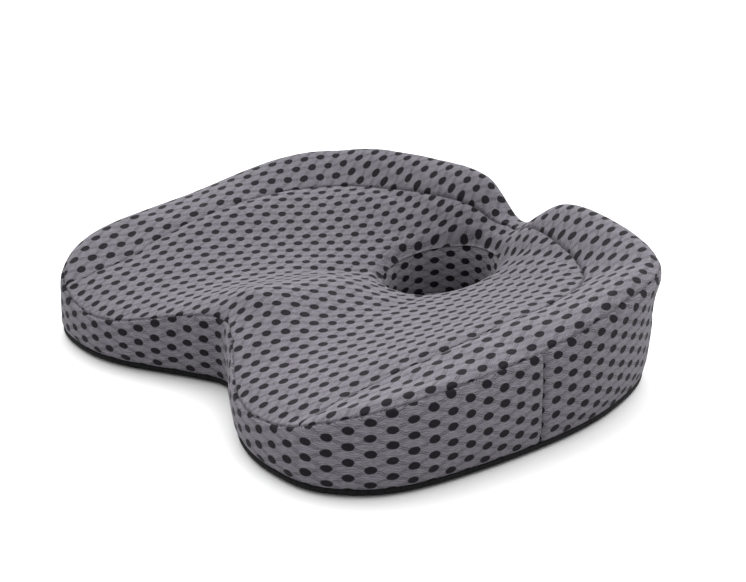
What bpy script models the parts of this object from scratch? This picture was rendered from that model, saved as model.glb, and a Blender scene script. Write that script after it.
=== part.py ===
"""Seat cushion: a contoured foam core in a thin knitted liner, inside a removable cover that is sewn
from spacer-mesh panels and closed underneath by two non-slip base panels and a coil zip.

Lengths are in millimetres and become metres where a mesh is made. X is across, +Y is the rear, +Z is up,
and the base panels rest on z = 0."""

import bmesh
import bpy
import numpy as np
from mathutils import Matrix, Vector
from mathutils.geometry import delaunay_2d_cdt

MM = 0.001

# Overall sizes.
WIDTH = 448.0
DEPTH = 368.0
CREST = 96.0
# Moves the seam outline back, so that the whole object, whose front wall leans out, is centred on the origin.
CENTRE_Y = 2.57

# Outline, from the front notch round to the middle of the rear edge, the left side being its mirror image:
# x as a part of half the width, y as a part of half the depth, seam height as a part of the crest height,
# and how far the base edge stands outside the seam, in mm.
OUTLINE = (
    (0.00, -0.72, 0.590, 1.5),
    (0.12, -0.78, 0.570, 1.5),
    (0.39, -0.97, 0.415, 3.0),
    (0.61, -1.00, 0.420, 4.0),
    (0.80, -0.92, 0.560, 3.0),
    (0.94, -0.66, 0.690, 2.0),
    (0.99, -0.09, 0.790, 2.0),
    (0.97, 0.37, 0.925, -4.0),
    (0.845, 0.75, 0.950, -9.0),
    (0.54, 0.945, 0.980, -10.0),
    (0.23, 1.00, 0.965, -8.0),
    (0.00, 0.98, 0.690, -6.0),
)
# Seam between the seat panel and the border panel, from the middle of the rear down the right side:
# x and y as above, and height as a part of the crest height.
INNER_SEAM = (
    (0.00, 0.875, 0.690),
    (0.17, 0.820, 0.790),
    (0.36, 0.750, 0.820),
    (0.55, 0.650, 0.815),
    (0.68, 0.500, 0.810),
    (0.75, 0.240, 0.815),
    (0.76, 0.000, 0.800),
    (0.755, -0.270, 0.740),
    (0.73, -0.500, 0.660),
    (0.705, -0.700, 0.570),
)
SEAM_MEETS_EDGE = 3.5
# The low ridge along the middle: how far along the way from the front notch to the hole, and height.
RIDGE = (
    (0.12, 0.710),
    (0.35, 0.703),
    (0.60, 0.647),
    (0.86, 0.547),
)
# The hollow that each thigh and buttock rests in: x, y and height as above.
HOLLOW = (
    (0.17, -0.72, 0.568),
    (0.36, -0.72, 0.506),
    (0.55, -0.72, 0.525),
    (0.17, -0.42, 0.599),
    (0.36, -0.42, 0.542),
    (0.55, -0.42, 0.596),
    (0.17, -0.12, 0.545),
    (0.36, -0.12, 0.553),
    (0.55, -0.12, 0.631),
    (0.36, 0.20, 0.553),
    (0.55, 0.20, 0.681),
    (0.36, 0.50, 0.623),
    (0.55, 0.50, 0.760),
)
POINTS_PER_SPAN = 4
WALL_BULGE = 2.0

# Pressure-relief hole.
HOLE_WIDTH = 88.0
HOLE_LENGTH = 104.0
HOLE_TO_SEAM = 25.0
HOLE_POINTS = 32
# Height of the rim's middle, and how much higher its rear is, as parts of the crest height.
RIM_HEIGHT = 0.48
RIM_TILT = 0.073

# Layers, from the outside in, with the gap between pieces side by side and between one layer and the next.
GAP = 0.3
LAYER_GAP = 0.6
MESH_THICKNESS = 3.0
LINER_THICKNESS = 0.8
BASE_THICKNESS = 1.2
LINER_BASE_THICKNESS = 0.6
POCKET_THICKNESS = 2.5

# Lower edge, where the base panels curl up to meet the wall.
CURL_HEIGHT = 6.0
CURL = ((0.0, 4.8), (1.5, 1.8), (3.0, 0.7), (6.0, 0.0))
LINER_BASE_INSET = 6.6

# Zip, straight across the underside.
ZIP_Y = -50.0
ZIP_LENGTH = 340.0
SLIT_HALF = 5.5
TAPE_WIDTH = 12.4
TAPE_THICKNESS = 0.6
TAPE_LOW = 6.5
COIL_GAP = 0.6
COIL_WIDTH = 2.6
COIL_LOW = 4.3
COIL_HEIGHT = 1.9
STOP_LENGTH = 3.0
BASE_LIFT = 5.0
BASE_CHANNEL = (6.0, 16.0)
INNER_LIFT = 7.7
INNER_CHANNEL = (13.5, 24.0)
# The channel runs on past the zip, so that the pull tab has room at either end, and then slopes away.
CHANNEL_RUN = 10.0
CHANNEL_END = 12.0

# Slider and pull tab.
SLIDER_LENGTH = 12.0
SLIDER_WIDTH = 9.0
SLIDER_PLATE = 1.0
SLIDER_LOW = 2.9
SLIDER_TOP = 8.5
POST_LENGTH = 4.0
POST_WIDTH = 0.6
ARCH_LENGTH = 5.6
ARCH_WIDTH = 1.6
ARCH_LEG = 0.8
ARCH_LOW = 0.9
PULL_AXIS_Z = 2.1
PULL_THICKNESS = 0.6
PULL_LENGTH = 21.0
PULL_WIDTH = 5.2
PULL_ARM = 1.2
PULL_BAR = 0.6
PULL_WINDOW = 4.0

HALF_WIDTH = WIDTH / 2
HALF_DEPTH = DEPTH / 2
LINER_FACE = MESH_THICKNESS + LAYER_GAP
FOAM_FACE = LINER_FACE + LINER_THICKNESS + LAYER_GAP
LINER_BASE_LOW = BASE_THICKNESS + GAP
FOAM_LOW = LINER_BASE_LOW + LINER_BASE_THICKNESS + GAP
POCKET_LOW = FOAM_LOW

for old in list(bpy.data.objects):
    bpy.data.objects.remove(old, do_unlink=True)


def finish(name, colour, roughness, metallic=0.0):
    """A plain material of one colour."""
    made = bpy.data.materials.new(name)
    made.use_nodes = True
    shader = made.node_tree.nodes["Principled BSDF"]
    shader.inputs["Base Color"].default_value = (*colour, 1.0)
    shader.inputs["Roughness"].default_value = roughness
    shader.inputs["Metallic"].default_value = metallic
    return made


SPACER_MESH = finish("grey_spacer_mesh", (0.16, 0.16, 0.175), 0.95)
KNIT_LINER = finish("white_knit_liner", (0.75, 0.75, 0.73), 0.9)
FOAM = finish("cream_foam", (0.80, 0.74, 0.60), 0.9)
NON_SLIP = finish("black_non_slip_fabric", (0.012, 0.012, 0.013), 0.85)
ZIP_NYLON = finish("black_zip_nylon", (0.02, 0.02, 0.022), 0.5)
ZIP_METAL = finish("black_zip_metal", (0.05, 0.05, 0.055), 0.35, 0.9)


def add_object(name, points, faces, material):
    """An object from points in mm, with its faces turned outward."""
    mesh = bpy.data.meshes.new(name)
    mesh.from_pydata((np.asarray(points) * MM).tolist(), [], faces)
    work = bmesh.new()
    work.from_mesh(mesh)
    for vert in [vert for vert in work.verts if not vert.link_faces]:
        work.verts.remove(vert)
    bmesh.ops.recalc_face_normals(work, faces=work.faces)
    work.to_mesh(mesh)
    work.free()
    mesh.materials.append(material)
    made = bpy.data.objects.new(name, mesh)
    bpy.context.scene.collection.objects.link(made)
    return made


def mirrored(rows):
    """The rows with the left half added, in order round the outline from the front notch."""
    rows = np.array(rows, float)
    left = rows[-2:0:-1].copy()
    left[:, 0] *= -1
    return np.concatenate([rows, left])


def closed_curve(rows, per_span):
    """A Catmull-Rom curve through the rows and back to the first."""
    t = np.linspace(0, 1, per_span, endpoint=False)[:, None]
    before = np.roll(rows, 1, 0)
    after = np.roll(rows, -1, 0)
    beyond = np.roll(rows, -2, 0)
    spans = []
    for a, b, c, d in zip(before, rows, after, beyond):
        square = 2 * a - 5 * b + 4 * c - d
        cube = 3 * b - a - 3 * c + d
        spans.append(0.5 * (2 * b + (c - a) * t + square * t**2 + cube * t**3))
    return np.concatenate(spans)


def outward(loop):
    """Unit normals of a counter-clockwise plan loop, pointing out."""
    along = np.roll(loop, -1, 0) - np.roll(loop, 1, 0)
    length = np.hypot(along[:, 0], along[:, 1])
    return np.stack([along[:, 1] / length, -along[:, 0] / length], 1)


def scaled(rows):
    """Rows of x, y and height in mm."""
    return np.array(rows, float)[:, :3] * (HALF_WIDTH, HALF_DEPTH, CREST) + (0.0, CENTRE_Y, 0.0)


rows = mirrored(OUTLINE)
stations = np.column_stack([scaled(rows), rows[:, 3]])
edge = closed_curve(stations, POINTS_PER_SPAN)
EDGE = edge[:, :2]
EDGE_HEIGHT = edge[:, 2]
EDGE_NORMAL = outward(EDGE)
BASE_EDGE = EDGE + EDGE_NORMAL * edge[:, 3:]
COLUMNS = len(EDGE)

inner = scaled(INNER_SEAM)
HOLE_Y = inner[0, 1] - HOLE_TO_SEAM - HOLE_LENGTH / 2
angle = np.linspace(0, 2 * np.pi, HOLE_POINTS, endpoint=False)
rim_x = HOLE_WIDTH / 2 * np.cos(angle)
RIM = np.stack([rim_x, HOLE_Y + HOLE_LENGTH / 2 * np.sin(angle)], 1)
RIM_NORMAL = outward(RIM)
RIM_Z = (RIM_HEIGHT + RIM_TILT * np.sin(angle)) * CREST
# The liner and the foam stop at this ring, outside the pocket that hangs in the hole.
POCKET_FACE = POCKET_THICKNESS + GAP
POCKET_RING = RIM + RIM_NORMAL * POCKET_FACE

meeting = round(SEAM_MEETS_EDGE * POINTS_PER_SPAN)
right_seam = np.concatenate([inner[:, :2], EDGE[meeting : meeting + 1]])
left_seam = right_seam[:0:-1] * (-1, 1)


def open_curve(rows, per_span):
    """A Catmull-Rom curve from the first row to the last."""
    ends = np.concatenate([[2 * rows[0] - rows[1]], rows, [2 * rows[-1] - rows[-2]]])
    t = np.linspace(0, 1, per_span, endpoint=False)[:, None]
    spans = []
    for a, b, c, d in zip(ends, ends[1:], ends[2:], ends[3:]):
        square = 2 * a - 5 * b + 4 * c - d
        cube = 3 * b - a - 3 * c + d
        spans.append(0.5 * (2 * b + (c - a) * t + square * t**2 + cube * t**3))
    return np.concatenate([*spans, rows[-1:]])


SEAT_SEAM = open_curve(np.concatenate([left_seam, right_seam]), 2)


def inside(points, loop):
    """Which points lie inside a closed plan loop, by counting crossings."""
    x, y = points[:, :1], points[:, 1:2]
    x0, y0 = loop[:, 0], loop[:, 1]
    x1, y1 = np.roll(x0, -1), np.roll(y0, -1)
    spans = (y0 > y) != (y1 > y)
    rise = np.where(y1 == y0, 1.0, y1 - y0)
    crossing = spans & (x < x0 + (y - y0) * (x1 - x0) / rise)
    return crossing.sum(1) % 2 == 1


def distance(points, line, closed=True):
    """Plan distance from each point to a line of straight spans."""
    start = line if closed else line[:-1]
    end = np.roll(line, -1, 0) if closed else line[1:]
    step = end - start
    offset = points[:, None] - start
    along = np.clip((offset * step).sum(2) / (step**2).sum(1), 0, 1)
    return np.hypot(*np.moveaxis(offset - along[..., None] * step, 2, 0)).min(1)


def spline_basis(a, b):
    """Thin-plate kernel, the squared distance times its logarithm."""
    square = ((a[:, None] - b) ** 2).sum(2) / HALF_WIDTH**2
    return square * np.log(square + 1e-12)


ridge = np.array(RIDGE)
ridge_y = EDGE[0, 1] + (RIM[:, 1].min() - EDGE[0, 1]) * ridge[:, 0]
known = np.concatenate(
    [
        stations[:, :3],
        scaled(INNER_SEAM),
        scaled(INNER_SEAM)[1:] * (-1, 1, 1),
        np.column_stack([np.zeros(len(ridge)), ridge_y, ridge[:, 1] * CREST]),
        scaled(HOLLOW),
        scaled(HOLLOW) * (-1, 1, 1),
        np.column_stack([RIM, RIM_Z])[::2],
    ]
)
plane = np.column_stack([np.ones(len(known)), known[:, :2] / HALF_WIDTH])
system = np.block([[spline_basis(known[:, :2], known[:, :2]), plane], [plane.T, np.zeros((3, 3))]])
weights = np.linalg.solve(system, np.concatenate([known[:, 2], np.zeros(3)]))


def seat_height(points):
    """Height of the seat's top face: the smooth surface through every named height."""
    flat = np.column_stack([np.ones(len(points)), points / HALF_WIDTH])
    return spline_basis(points, known[:, :2]) @ weights[:-3] + flat @ weights[-3:]


def triangulate(loops, lines, loose):
    """Plan points and triangles that keep every loop, line and loose point."""
    points = []
    edges = []
    for chain, closed in [(loop, True) for loop in loops] + [(line, False) for line in lines]:
        first = len(points)
        points.extend(map(Vector, chain.tolist()))
        edges.extend((first + i, first + i + 1) for i in range(len(chain) - 1))
        if closed:
            edges.append((first + len(chain) - 1, first))
    points.extend(map(Vector, loose.tolist()))
    verts, _, faces, _, _, _ = delaunay_2d_cdt(points, edges, [], 1, 1e-4)
    verts = np.array([tuple(v) for v in verts])
    faces = np.array([tuple(f) for f in faces])
    middle = verts[faces].mean(1)
    keep = inside(middle, loops[0])
    for loop in loops[1:]:
        keep &= ~inside(middle, loop)
    return verts, faces[keep]


def hex_points(spacing, loop):
    """Rows of evenly spaced points inside a loop, each row shifted by half the spacing."""
    low = loop.min(0)
    high = loop.max(0)
    rows = np.arange(low[1], high[1], spacing * np.sqrt(0.75))
    found = []
    for number, y in enumerate(rows):
        x = np.arange(0.5 * (number % 2), high[0] / spacing, 1.0) * spacing
        x = np.unique(np.concatenate([-x, x]))
        found.append(np.column_stack([x, np.full(len(x), y)]))
    found = np.concatenate(found)
    return found[inside(found, loop)]


def nearest(points, targets):
    """Index of the point nearest each target."""
    return ((points[None] - targets[:, None]) ** 2).sum(2).argmin(1)


# Every layer of the top shares this one plan triangulation, so the layers stay parallel.
GRID_SPACING = 21.0
CLEAR_OF_SEAMS = 9.0
loose = hex_points(GRID_SPACING, EDGE)
clear = distance(loose, EDGE) > CLEAR_OF_SEAMS
clear &= distance(loose, SEAT_SEAM, False) > CLEAR_OF_SEAMS
clear &= (distance(loose, RIM) > CLEAR_OF_SEAMS) & ~inside(loose, RIM)
ring_line = np.concatenate([POCKET_RING, POCKET_RING[:1]])
TOP, TOP_FACES = triangulate([EDGE, RIM], [SEAT_SEAM[1:-1], ring_line], loose[clear])
EDGE_AT = nearest(TOP, EDGE)
RIM_AT = nearest(TOP, RIM)
POCKET_AT = nearest(TOP, POCKET_RING)
LINED_FACES = TOP_FACES[~inside(TOP[TOP_FACES].mean(1), POCKET_RING)]
TOP_Z = seat_height(TOP)
TOP_Z[EDGE_AT] = EDGE_HEIGHT
TOP_Z[RIM_AT] = RIM_Z


def on_top(points):
    """Height of the triangulated top at some plan points, from the corners of the triangle each lies in."""
    a, b, c = np.moveaxis(TOP[TOP_FACES], 1, 0)
    ab, ac = b - a, c - a
    twice = ab[:, 0] * ac[:, 1] - ab[:, 1] * ac[:, 0]
    ap = points[:, None] - a
    v = (ap[..., 0] * ac[:, 1] - ap[..., 1] * ac[:, 0]) / twice
    w = (ab[:, 0] * ap[..., 1] - ab[:, 1] * ap[..., 0]) / twice
    at = np.minimum(np.minimum(v, w), 1 - v - w).argmax(1)
    row = np.arange(len(points))
    v, w = v[row, at], w[row, at]
    corner = TOP_Z[TOP_FACES[at]]
    return corner[:, 0] * (1 - v - w) + corner[:, 1] * v + corner[:, 2] * w


def boundary(faces):
    """Directed edges that only one face uses."""
    ends = np.concatenate([faces[:, [0, 1]], faces[:, [1, 2]], faces[:, [2, 0]]])
    used = {tuple(pair) for pair in ends.tolist()}
    return [pair for pair in used if pair[::-1] not in used]


def slab(name, plan, faces, low, high, material):
    """A closed sheet between two heights over the same plan triangles."""
    used, index = np.unique(faces, return_inverse=True)
    faces = index.reshape(-1, 3)
    count = len(used)
    points = np.concatenate(
        [np.column_stack([plan[used], high[used]]), np.column_stack([plan[used], low[used]])]
    )
    sides = [(a, b, b + count, a + count) for a, b in boundary(faces)]
    faces = [*faces.tolist(), *(faces[:, ::-1] + count).tolist(), *sides]
    return add_object(name, points, faces, material)


def pulled_in(plan, faces, amount):
    """The plan with the boundary of some faces drawn inward, so that neighbours keep a gap."""
    moved = plan.copy()
    shift = np.zeros_like(plan)
    for a, b in boundary(faces):
        step = plan[b] - plan[a]
        normal = np.array([-step[1], step[0]]) / np.hypot(*step)
        shift[a] += normal
        shift[b] += normal
    size = np.hypot(shift[:, 0], shift[:, 1])
    touched = size > 0
    moved[touched] += shift[touched] / size[touched, None] * amount
    return moved


# Seat and border panels: spacer mesh, meeting along the inner seam.
seat_loop = np.concatenate([SEAT_SEAM, EDGE[meeting:0:-1], EDGE[:1], EDGE[-1 : -meeting - 1 : -1]])
in_seat = inside(TOP[TOP_FACES].mean(1), seat_loop)
for name, faces in (("seat_panel", TOP_FACES[in_seat]), ("border_panel", TOP_FACES[~in_seat])):
    plan = pulled_in(TOP, faces, GAP / 2)
    slab(name, plan, faces, TOP_Z - MESH_THICKNESS, TOP_Z, SPACER_MESH)


def wall_rows(inset, low, high, rows, seam=EDGE_HEIGHT):
    """Rings of wall points from the top down, set in from the outside face; high is below the seam."""
    rings = []
    top = seam - high
    for part in np.linspace(1, 0, rows):
        z = low + (top - low) * part
        up = ((z - CURL_HEIGHT) / (EDGE_HEIGHT - CURL_HEIGHT))[:, None]
        bulge = WALL_BULGE * np.sin(np.pi * np.clip(up, 0, 1))
        plan = BASE_EDGE + (EDGE - BASE_EDGE) * up + EDGE_NORMAL * (bulge - inset)
        rings.append(np.column_stack([plan, z]))
    return np.array(rings)


def strip(rows, columns):
    """Quads over an open grid of points numbered row by row."""
    last = columns - 1
    found = []
    for r in range(rows - 1):
        first = r * columns
        second = first + columns
        for c in range(last):
            after = c + 1
            found.append((first + c, first + after, second + after, second + c))
    return found


WALL_ROWS = 4
WALL_LOW = CURL_HEIGHT + GAP
SIDE_SEAM = 6 * POINTS_PER_SPAN


def wall_panel(name, picked):
    """A strip of wall between the two side seams, with both faces and all four edges."""
    outer = wall_rows(0.0, WALL_LOW, MESH_THICKNESS + GAP, WALL_ROWS)[:, picked]
    under = np.minimum(EDGE_HEIGHT, on_top(EDGE - EDGE_NORMAL * MESH_THICKNESS))
    back = wall_rows(MESH_THICKNESS, WALL_LOW, MESH_THICKNESS + GAP, WALL_ROWS, under)[:, picked]
    for grid in (outer, back):
        for end, beside in ((0, 1), (-1, -2)):
            toward = grid[:, beside] - grid[:, end]
            toward[:, 2] = 0
            grid[:, end] += toward / np.linalg.norm(toward, axis=1)[:, None] * GAP / 2
    count = len(picked)
    faces = strip(WALL_ROWS, count)
    behind = WALL_ROWS * count
    sides = [tuple(i + behind for i in face[::-1]) for face in faces]
    numbers = np.arange(behind).reshape(WALL_ROWS, count)
    for line in (numbers[0], numbers[-1], numbers[:, 0], numbers[:, -1]):
        for a, b in zip(line.tolist(), line[1:].tolist()):
            sides.append((a, b, b + behind, a + behind))
    points = np.concatenate([outer.reshape(-1, 3), back.reshape(-1, 3)])
    add_object(name, points, faces + sides, SPACER_MESH)


wall_panel("wall_front", np.arange(-SIDE_SEAM, SIDE_SEAM + 1) % COLUMNS)
wall_panel("wall_rear", np.arange(SIDE_SEAM, COLUMNS - SIDE_SEAM + 1) % COLUMNS)


def skin(inset, rows, hole_gap, low):
    """Points, faces and bottom ring of the top and wall together, set in from the outside."""
    plan = TOP.copy()
    plan[EDGE_AT] -= EDGE_NORMAL * inset
    plan[POCKET_AT] += RIM_NORMAL * hole_gap
    height = TOP_Z.copy()
    height[EDGE_AT] = np.minimum(EDGE_HEIGHT, on_top(plan[EDGE_AT]))
    height[POCKET_AT] = on_top(plan[POCKET_AT])
    top = np.column_stack([plan, height - inset])
    rings = wall_rows(inset, low, inset, rows, height[EDGE_AT])[1:]
    points = np.concatenate([top, rings.reshape(-1, 3)])
    ring = list(EDGE_AT)
    faces = LINED_FACES.tolist()
    for row in range(rows - 1):
        first = len(top) + row * COLUMNS
        below = list(range(first, first + COLUMNS))
        faces += joined(ring, below, 0)
        ring = below
    return points, faces, ring


def joined(ring_a, ring_b, shift):
    """Quads between two rings, the second numbered after a shift."""
    count = len(ring_a)
    return [
        (ring_a[i], ring_a[(i + 1) % count], ring_b[(i + 1) % count] + shift, ring_b[i] + shift)
        for i in range(count)
    ]


# Liner: a thin knit sock over the foam, open at the hole, and a flat knit base.
outer, outer_faces, outer_ring = skin(LINER_FACE, WALL_ROWS, 0.0, FOAM_LOW)
back, back_faces, back_ring = skin(LINER_FACE + LINER_THICKNESS, WALL_ROWS, 0.0, FOAM_LOW)
count = len(outer)
faces = outer_faces + [tuple(i + count for i in face[::-1]) for face in back_faces]
faces += joined(outer_ring, back_ring, count) + joined(list(POCKET_AT), list(POCKET_AT), count)
add_object("liner_top", np.concatenate([outer, back]), faces, KNIT_LINER)


def channel(plan, lift, across):
    """How far a layer rises over the zip: flat in the middle and sloping away all round."""
    flat, foot = across
    side = (foot - np.abs(plan[:, 1] - ZIP_Y)) / (foot - flat)
    end = (ZIP_LENGTH / 2 + CHANNEL_RUN + CHANNEL_END - np.abs(plan[:, 0])) / CHANNEL_END
    return lift * np.clip(np.minimum(side, end), 0, 1)


def channel_lines(across):
    """The creases of that rise."""
    flat, foot = across
    x0 = ZIP_LENGTH / 2 + CHANNEL_RUN
    x1 = x0 + CHANNEL_END
    crest = np.array([(-x0, -flat), (x0, -flat), (x0, flat), (-x0, flat), (-x0, -flat)]) + (0, ZIP_Y)
    base = np.array([(-x1, -foot), (x1, -foot), (x1, foot), (-x1, foot), (-x1, -foot)]) + (0, ZIP_Y)
    return [crest, base, *(np.array([crest[i], base[i]]) for i in range(4))]


NO_POINTS = np.empty((0, 2))
liner_loop = BASE_EDGE - EDGE_NORMAL * LINER_BASE_INSET
plan, faces = triangulate([liner_loop], channel_lines(INNER_CHANNEL), NO_POINTS)
lift = channel(plan, INNER_LIFT, INNER_CHANNEL)
low = LINER_BASE_LOW + lift
slab("liner_base", plan, faces, low, low + LINER_BASE_THICKNESS, KNIT_LINER)

# Foam core, with the hole right through it and a channel for the zip.
points, faces, ring = skin(FOAM_FACE, WALL_ROWS, GAP, FOAM_LOW)
hole_ring = np.column_stack([points[POCKET_AT][:, :2], np.full(HOLE_POINTS, FOAM_LOW)])
shift = len(points)
points = np.concatenate([points, hole_ring])
hole_at = list(range(shift, shift + HOLE_POINTS))
faces += joined(hole_at, list(POCKET_AT), 0)
bottom_plan, bottom = triangulate([points[ring][:, :2], hole_ring[:, :2]], [], NO_POINTS)
match = np.array(ring + hole_at)[nearest(points[ring + hole_at][:, :2], bottom_plan)]
faces += [tuple(face[::-1]) for face in match[bottom].tolist()]
foam = add_object("foam_core", points, faces, FOAM)

flat, foot = INNER_CHANNEL
x0 = ZIP_LENGTH / 2 + CHANNEL_RUN
UNDER = 2.0
spread = (foot - flat) * UNDER / INNER_LIFT
x_spread = CHANNEL_END * UNDER / INNER_LIFT
cut_points = []
for x, y, z in (
    (x0 + CHANNEL_END + x_spread, foot + spread, FOAM_LOW - UNDER),
    (x0, flat, FOAM_LOW + INNER_LIFT),
):
    cut_points += [(-x, ZIP_Y - y, z), (x, ZIP_Y - y, z), (x, ZIP_Y + y, z), (-x, ZIP_Y + y, z)]
BOX_FACES = [(3, 2, 1, 0), (4, 5, 6, 7), (0, 1, 5, 4), (1, 2, 6, 5), (2, 3, 7, 6), (3, 0, 4, 7)]
cutter = add_object("channel_cutter", cut_points, BOX_FACES, FOAM)
cutter.hide_render = True
cutter.display_type = "WIRE"
cut = foam.modifiers.new("zip_channel", "BOOLEAN")
cut.operation = "DIFFERENCE"
cut.solver = "EXACT"
cut.object = cutter

# Pocket in the hole: a mesh tube on a mesh floor.
POCKET_ROWS = 4
tube_low = POCKET_LOW + POCKET_THICKNESS + GAP
rings = []
for inset in (0.0, POCKET_THICKNESS):
    for part in np.linspace(1, 0, POCKET_ROWS):
        z = tube_low + (RIM_Z - MESH_THICKNESS - GAP - tube_low) * part
        rings.append(np.column_stack([RIM + RIM_NORMAL * inset, z]))
order = [*range(POCKET_ROWS), *range(2 * POCKET_ROWS - 1, POCKET_ROWS - 1, -1), 0]
faces = []
for a, b in zip(order, order[1:]):
    first = list(range(a * HOLE_POINTS, (a + 1) * HOLE_POINTS))
    second = list(range(b * HOLE_POINTS, (b + 1) * HOLE_POINTS))
    faces += joined(first, second, 0)
add_object("hole_wall", np.concatenate(rings), faces, SPACER_MESH)

plan, faces = triangulate([RIM + RIM_NORMAL * POCKET_THICKNESS], [], NO_POINTS)
floor_low = np.full(len(plan), POCKET_LOW)
slab("hole_floor", plan, faces, floor_low, floor_low + POCKET_THICKNESS, SPACER_MESH)


# Base panels, one each side of the zip, curled up at the edge.
def half_loop(loop, sign):
    """The part of a loop on one side of the zip line, closed along that line with the slit cut back."""
    line = ZIP_Y + sign * GAP / 2
    side = sign * (loop[:, 1] - line) > 0
    starts = np.flatnonzero(side & ~np.roll(side, 1))[0]
    kept = np.roll(loop, -starts, 0)[: side.sum()]
    before = loop[starts - 1]
    after = np.roll(loop, -starts, 0)[side.sum()]
    ends = []
    for out, back in ((before, kept[0]), (after, kept[-1])):
        part = (line - out[1]) / (back[1] - out[1])
        ends.append(out + (back - out) * part)
    turn = np.sign(ends[1][0])
    slit_x = ZIP_LENGTH / 2 + SLIT_HALF / 2
    slit_y = ZIP_Y + sign * SLIT_HALF
    step = np.array([(slit_x, line), (slit_x, slit_y), (-slit_x, slit_y), (-slit_x, line)])
    return np.concatenate([[ends[0]], kept, [ends[1]], step * (turn, 1)])


curl_at = np.array([row[0] for row in CURL])
curl_rise = np.array([row[1] for row in CURL])
for name, sign in (("base_front", -1), ("base_rear", 1)):
    loop = half_loop(BASE_EDGE, sign)
    lines = channel_lines(BASE_CHANNEL)
    for inset in curl_at[1:]:
        ring = BASE_EDGE - EDGE_NORMAL * inset
        lines.append(np.concatenate([ring, ring[:1]]))
    plan, faces = triangulate([loop], lines, NO_POINTS)
    rise = np.interp(distance(plan, BASE_EDGE), curl_at, curl_rise)
    low = rise + channel(plan, BASE_LIFT, BASE_CHANNEL)
    slab(name, plan, faces, low, low + BASE_THICKNESS, NON_SLIP)


def box(name, low, high, material):
    """A block between two corners."""
    (x0, y0, z0), (x1, y1, z1) = low, high
    points = [(x, y, z) for z in (z0, z1) for x, y in ((x0, y0), (x1, y0), (x1, y1), (x0, y1))]
    return add_object(name, points, BOX_FACES, material)


# Zip: two tapes, each with its coil, and a stop at both ends.
half = ZIP_LENGTH / 2
coil_half = half - STOP_LENGTH - GAP
for side, sign in (("front", -1), ("rear", 1)):
    near, far = sorted((ZIP_Y + sign * COIL_GAP, ZIP_Y + sign * (COIL_GAP + TAPE_WIDTH)))
    high = (half, far, TAPE_LOW + TAPE_THICKNESS)
    box(f"zip_tape_{side}", (-half, near, TAPE_LOW), high, ZIP_NYLON)
    near, far = sorted((ZIP_Y + sign * COIL_GAP, ZIP_Y + sign * (COIL_GAP + COIL_WIDTH)))
    high = (coil_half, far, COIL_LOW + COIL_HEIGHT)
    box(f"zip_coil_{side}", (-coil_half, near, COIL_LOW), high, ZIP_NYLON)
stop_y = COIL_GAP + COIL_WIDTH
for side, sign in (("left", -1), ("right", 1)):
    near, far = sorted((sign * half, sign * (half - STOP_LENGTH)))
    low = (near, ZIP_Y - stop_y, COIL_LOW)
    box(f"zip_stop_{side}", low, (far, ZIP_Y + stop_y, COIL_LOW + COIL_HEIGHT), ZIP_METAL)


def plates(name, blocks, origin):
    """One metal body joined from overlapping blocks, with its origin where it turns or slides."""
    parts = []
    for number, (low, high) in enumerate(blocks):
        parts.append(box(f"{name}_{number}", low, high, ZIP_METAL))
    body = parts[0]
    for other in parts[1:]:
        union = body.modifiers.new(other.name, "BOOLEAN")
        union.operation = "UNION"
        union.solver = "EXACT"
        union.object = other
    bpy.context.view_layer.update()
    graph = bpy.context.evaluated_depsgraph_get()
    mesh = bpy.data.meshes.new_from_object(body.evaluated_get(graph))
    for part in parts:
        bpy.data.objects.remove(part, do_unlink=True)
    mesh.transform(Matrix.Translation(-Vector(origin) * MM))
    made = bpy.data.objects.new(name, mesh)
    made.location = Vector(origin) * MM
    bpy.context.scene.collection.objects.link(made)
    return made


# Slider, at the closed end of the zip, and its pull tab hanging from the arch beneath.
slider_x = coil_half - SLIDER_LENGTH / 2 - GAP
arch = ARCH_LENGTH / 2
leg = ARCH_WIDTH / 2
long = SLIDER_LENGTH / 2
wide = SLIDER_WIDTH / 2
OVERLAP = 0.3
slider_blocks = [
    ((-long, -wide, SLIDER_LOW), (long, wide, SLIDER_LOW + SLIDER_PLATE)),
    ((-long, -wide, SLIDER_TOP - SLIDER_PLATE), (long, wide, SLIDER_TOP)),
    (
        (-POST_LENGTH / 2, -POST_WIDTH / 2, SLIDER_LOW + OVERLAP),
        (POST_LENGTH / 2, POST_WIDTH / 2, SLIDER_TOP - OVERLAP),
    ),
    ((-arch, -leg, ARCH_LOW), (arch, leg, ARCH_LOW + ARCH_LEG)),
    ((-arch, -leg, ARCH_LOW + OVERLAP), (-arch + ARCH_LEG, leg, SLIDER_LOW + OVERLAP)),
    ((arch - ARCH_LEG, -leg, ARCH_LOW + OVERLAP), (arch, leg, SLIDER_LOW + OVERLAP)),
]


def placed(blocks, x, y):
    """Blocks moved across the underside."""
    shift = np.array((x, y, 0.0))
    return [(tuple(shift + low), tuple(shift + high)) for low, high in blocks]


pull_axis = (slider_x, ZIP_Y, PULL_AXIS_Z)
plates("zip_slider", placed(slider_blocks, slider_x, ZIP_Y), pull_axis)

bar = PULL_BAR / 2
thick = PULL_THICKNESS / 2
side = PULL_WIDTH / 2
low = PULL_AXIS_Z - thick
high = PULL_AXIS_Z + thick
window = -PULL_WINDOW
pull_blocks = [
    ((-bar, -side, low), (bar, side, high)),
    ((window - OVERLAP, -side, low), (-bar + OVERLAP, -side + PULL_ARM, high)),
    ((window - OVERLAP, side - PULL_ARM, low), (-bar + OVERLAP, side, high)),
    ((-PULL_LENGTH, -side, low), (window, side, high)),
]
plates("zip_pull", placed(pull_blocks, slider_x, ZIP_Y), pull_axis)
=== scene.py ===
import bpy
import numpy as np
from mathutils import Matrix, Vector


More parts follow.
